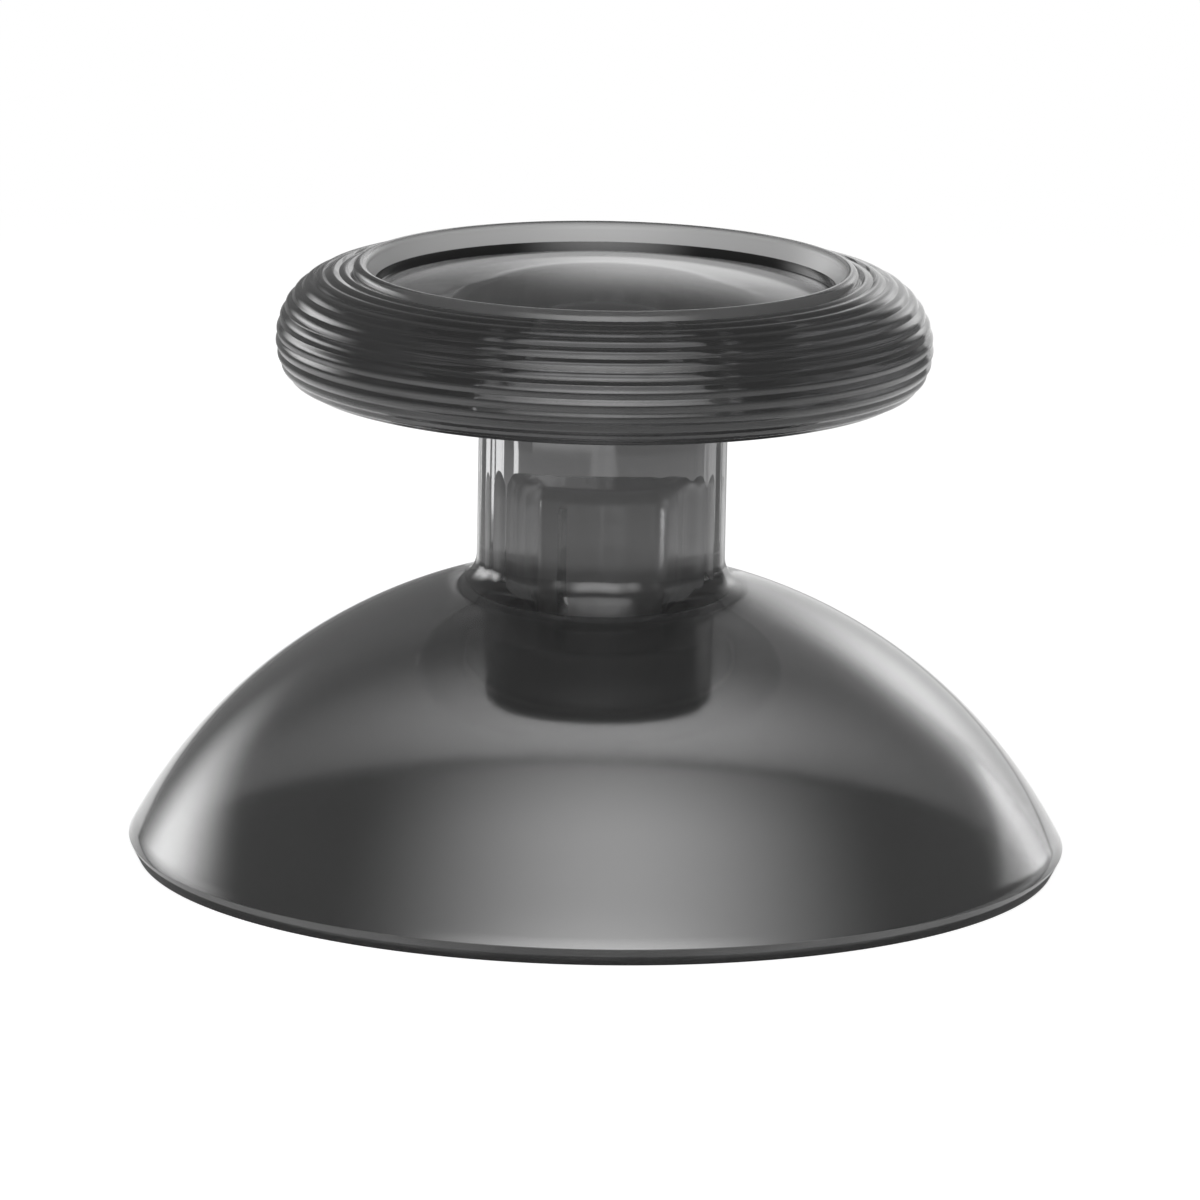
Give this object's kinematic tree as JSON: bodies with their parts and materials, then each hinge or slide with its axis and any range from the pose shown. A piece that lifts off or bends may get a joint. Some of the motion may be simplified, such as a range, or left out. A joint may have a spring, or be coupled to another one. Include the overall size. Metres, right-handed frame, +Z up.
{
  "type": "controller thumbstick",
  "caption": "Translucent smoke-grey mushroom thumbstick: grooved grip rim, raised lip and crowned top on a neck over a thin domed skirt with a double-D stem socket.",
  "frame": {"origin": "centre of the flat ring at the bottom of the skirt, on the axis of the stick", "axes": "+Z up along the axis of the stick towards the head, +Y along the socket's flats"},
  "size_m": [0.026, 0.026, 0.0166],
  "materials": {
    "smoke_plastic": "polished clear plastic with a neutral smoke tint"
  },
  "bodies": {
    "root": {"thumbstick": "smoke_plastic"}
  },
  "joints": []
}
